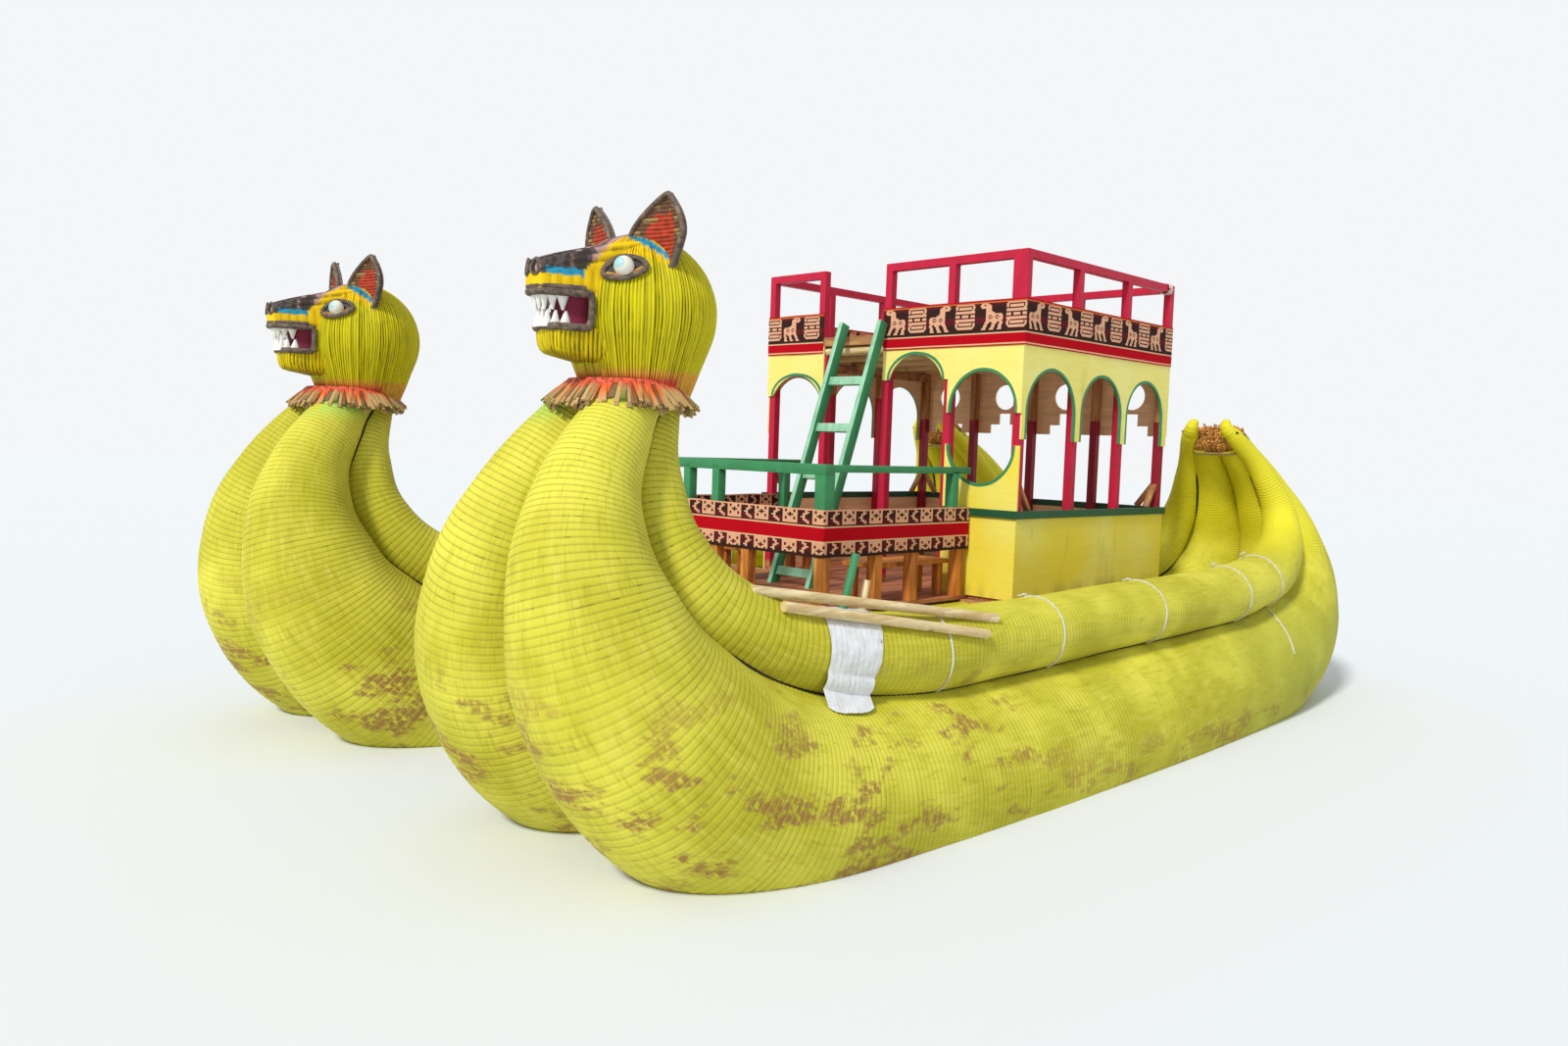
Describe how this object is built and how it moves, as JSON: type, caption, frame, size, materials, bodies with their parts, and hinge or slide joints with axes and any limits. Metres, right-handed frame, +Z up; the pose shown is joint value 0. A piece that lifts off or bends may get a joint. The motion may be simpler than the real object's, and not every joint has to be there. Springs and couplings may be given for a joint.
{
  "type": "double-hulled reed boat with a two-storey cabin",
  "caption": "Double-hulled boat of tied reed bundles with cat-like heads, a fenced fore deck, a cabin with arched openings and a railed upper deck with a ladder.",
  "frame": {"origin": "on the waterline, on the centre plane, amidships", "axes": "-Y is towards the bow, +X to port, +Z up"},
  "size_m": [5.6532, 8.8562, 4.1486],
  "materials": {
    "hull_reed": "matte",
    "head_reed": "matte",
    "collar_reed": "matte",
    "cut_reed": "matte",
    "ear_reed": "matte",
    "brown_rim": "satin",
    "eye_white": "gloss",
    "tooth_white": "satin",
    "yellow_sheet": "painted satin",
    "green_timber": "painted satin",
    "crimson_timber": "painted satin",
    "bare_timber": "matte",
    "deck_timber": "matte",
    "pale_pole": "matte",
    "woven_cloth": "woven",
    "white_sheet": "satin"
  },
  "bodies": {
    "root": {"port_outer_bundle": "hull_reed", "port_inner_bundle": "hull_reed", "port_outer_roll": "hull_reed", "port_inner_roll": "hull_reed", "port_stern_reeds": "cut_reed", "port_head": "head_reed", "port_ears": "ear_reed", "port_eyes": "eye_white", "port_face_rims": "brown_rim", "port_teeth": "tooth_white", "port_collar": "collar_reed", "starboard_outer_bundle": "hull_reed", "starboard_inner_bundle": "hull_reed", "starboard_outer_roll": "hull_reed", "starboard_inner_roll": "hull_reed", "starboard_stern_reeds": "cut_reed", "starboard_head": "head_reed", "starboard_ears": "ear_reed", "starboard_eyes": "eye_white", "starboard_face_rims": "brown_rim", "starboard_teeth": "tooth_white", "starboard_collar": "collar_reed", "cross_beams": "bare_timber", "poles": "pale_pole", "roll_wrap": "white_sheet", "stakes": "green_timber", "fore_deck": "deck_timber", "cabin_floor": "deck_timber", "port_lower_wall": "yellow_sheet", "starboard_lower_wall": "yellow_sheet", "aft_lower_wall": "yellow_sheet", "front_lower_wall": "yellow_sheet", "sill_band": "green_timber", "front_arches": "yellow_sheet", "port_arches": "yellow_sheet", "starboard_arches": "yellow_sheet", "aft_screen": "yellow_sheet", "cabin_posts": "crimson_timber", "roof_frame": "bare_timber", "roof_joists": "pale_pole", "upper_fascia": "bare_timber", "upper_boards": "deck_timber", "upper_railing": "crimson_timber", "upper_cloth": "woven_cloth", "pen_cloth": "woven_cloth", "pen_fence": "green_timber", "pen_legs": "bare_timber", "benches": "bare_timber", "ladder": "green_timber"}
  },
  "joints": []
}
